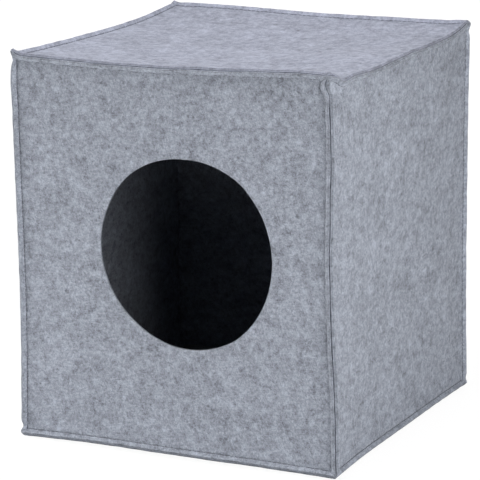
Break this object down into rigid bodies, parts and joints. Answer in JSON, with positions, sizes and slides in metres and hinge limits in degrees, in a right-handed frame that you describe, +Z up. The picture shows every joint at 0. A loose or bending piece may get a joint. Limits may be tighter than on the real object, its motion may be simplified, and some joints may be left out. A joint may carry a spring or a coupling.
{
  "type": "cat cave bed",
  "caption": "Tall box-shaped felt cat cave with a round entrance in its front, seams turned outwards along every edge and a loose square cushion on its floor.",
  "frame": {"origin": "middle of the underside, on the surface that the cave stands on", "axes": "+Z up, front with the round entrance towards -Y, +X to the right of someone who looks at the front"},
  "size_m": [0.3302, 0.33, 0.3699],
  "materials": {
    "felt": "matt, speckled grey needle felt with light and dark fibres",
    "cushion_cover": "matt dark grey plush",
    "cushion_filling": "loose white polyester fibre"
  },
  "bodies": {
    "cave": {"front_panel": "felt", "back_panel": "felt", "left_panel": "felt", "right_panel": "felt", "roof_panel": "felt", "floor_panel": "felt"},
    "cushion": {"cushion_top_cover": "cushion_cover", "cushion_bottom_cover": "cushion_cover", "cushion_filling": "cushion_filling"}
  },
  "joints": [
    {"name": "cushion_lift", "type": "slide", "parent": "cave", "child": "cushion", "axis": [0, 0, 1], "range_m": [0, 0.1]}
  ]
}
